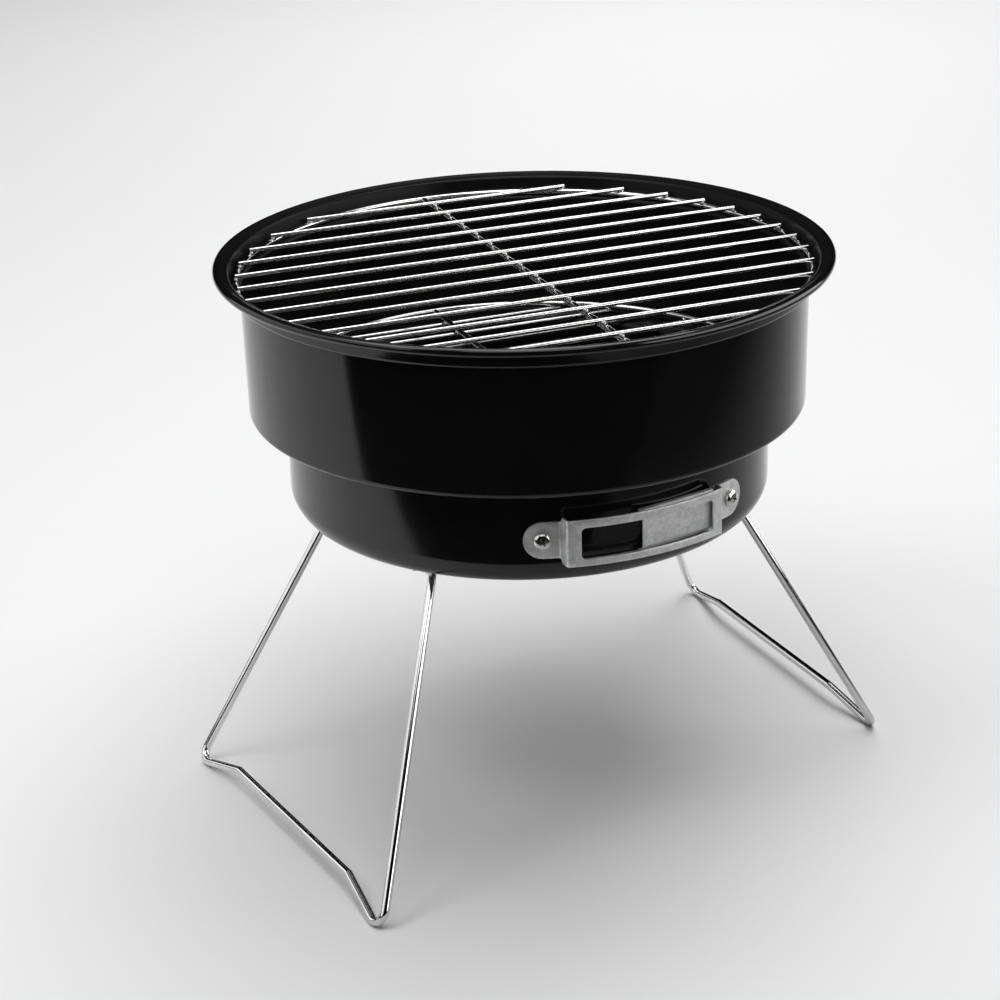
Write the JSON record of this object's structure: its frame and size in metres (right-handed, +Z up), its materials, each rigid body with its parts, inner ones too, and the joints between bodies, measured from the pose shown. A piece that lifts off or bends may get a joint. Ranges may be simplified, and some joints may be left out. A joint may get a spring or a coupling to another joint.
{
  "type": "portable tabletop charcoal grill",
  "caption": "Stepped round enamelled bowl on two folding wire legs, with a loose cooking grate and charcoal grate and a sliding air vent.",
  "frame": {"origin": "on the ground under the bowl's axis, with the legs standing open", "axes": "+Z up along the bowl's axis, the legs stand apart along X, and the air vent faces -Y"},
  "size_m": [0.3156, 0.284, 0.2544],
  "materials": {
    "enamel": "gloss black enamel",
    "galvanised": "zinc coated sheet with a fine spangle",
    "fastener": "nickel plated steel",
    "leg_chrome": "bright chrome plate",
    "grate_chrome": "bright chrome plated wire"
  },
  "bodies": {
    "bowl": {"bowl": "enamel", "vent_bracket": "galvanised", "vent_screws": "fastener", "vent_washers": "fastener", "vent_nuts": "fastener", "left_hinge_strap": "galvanised", "right_hinge_strap": "galvanised", "left_hinge_screws": "fastener", "left_hinge_washers": "fastener", "left_hinge_nuts": "fastener", "right_hinge_screws": "fastener", "right_hinge_washers": "fastener", "right_hinge_nuts": "fastener"},
    "vent_slider": {"vent_slider": "galvanised"},
    "left_leg": {"left_leg": "leg_chrome"},
    "right_leg": {"right_leg": "leg_chrome"},
    "cooking_grate": {"cooking_grate_ring": "grate_chrome", "cooking_grate_bars": "grate_chrome", "cooking_grate_crossbar": "grate_chrome"},
    "charcoal_grate": {"charcoal_grate_ring": "grate_chrome", "charcoal_grate_bars": "grate_chrome", "charcoal_grate_crossbar": "grate_chrome"}
  },
  "joints": [
    {"name": "left_leg_fold", "type": "hinge", "parent": "bowl", "child": "left_leg", "pos_m": [-0.078, 0, 0.1309], "axis": [0.0349, -0.9994, 0], "range_deg": [0, 118]},
    {"name": "right_leg_fold", "type": "hinge", "parent": "bowl", "child": "right_leg", "pos_m": [0.0864, 0, 0.1309], "axis": [0.0698, 0.9976, 0], "range_deg": [0, 104.5]},
    {"name": "vent_slide", "type": "hinge", "parent": "bowl", "child": "vent_slider", "pos_m": [0, 0, 0.158], "axis": [0, 0, 1], "range_deg": [-15.5, 0]},
    {"name": "cooking_grate_lift", "type": "slide", "parent": "bowl", "child": "cooking_grate", "axis": [0, 0, 1], "range_m": [0, 0.06]},
    {"name": "charcoal_grate_lift", "type": "slide", "parent": "bowl", "child": "charcoal_grate", "axis": [0, 0, 1], "range_m": [0, 0.05]}
  ]
}
